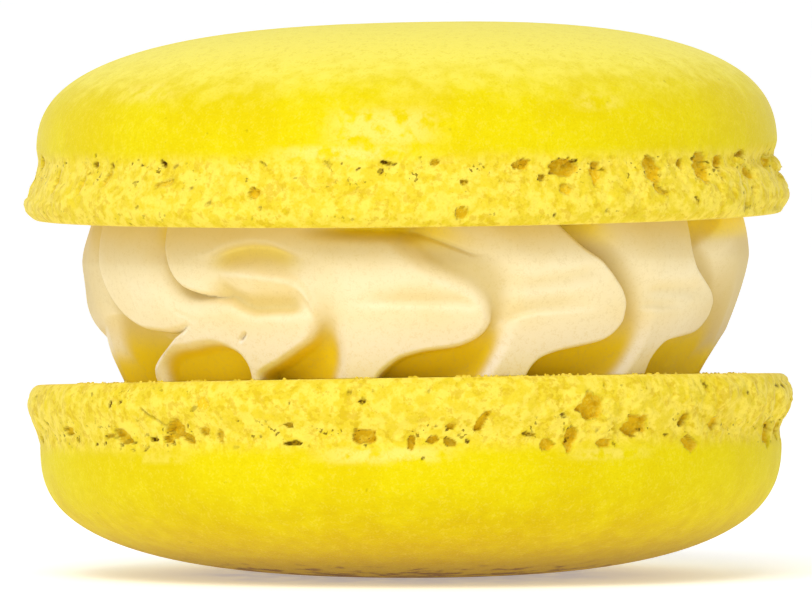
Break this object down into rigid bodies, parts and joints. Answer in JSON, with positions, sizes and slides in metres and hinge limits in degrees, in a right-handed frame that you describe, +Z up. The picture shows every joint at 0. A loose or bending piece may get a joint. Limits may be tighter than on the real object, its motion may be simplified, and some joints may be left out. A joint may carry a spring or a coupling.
{
  "type": "french macaron",
  "caption": "Yellow almond-meringue sandwich biscuit with domed shells, ruffled feet and a thick star-piped cream filling.",
  "frame": {"origin": "on the ground under the middle of the macaron's bounding box, where the lower dome rests", "axes": "+Z up, -Y to the front, where the two shells lean closest together, and +X to the right seen from there"},
  "size_m": [0.045, 0.045, 0.0327],
  "materials": {
    "shell_upper": "matte",
    "shell_lower": "matte",
    "cream": "satin"
  },
  "bodies": {
    "root": {"shell_lower": "shell_lower", "cream": "cream", "shell_upper": "shell_upper"}
  },
  "joints": []
}
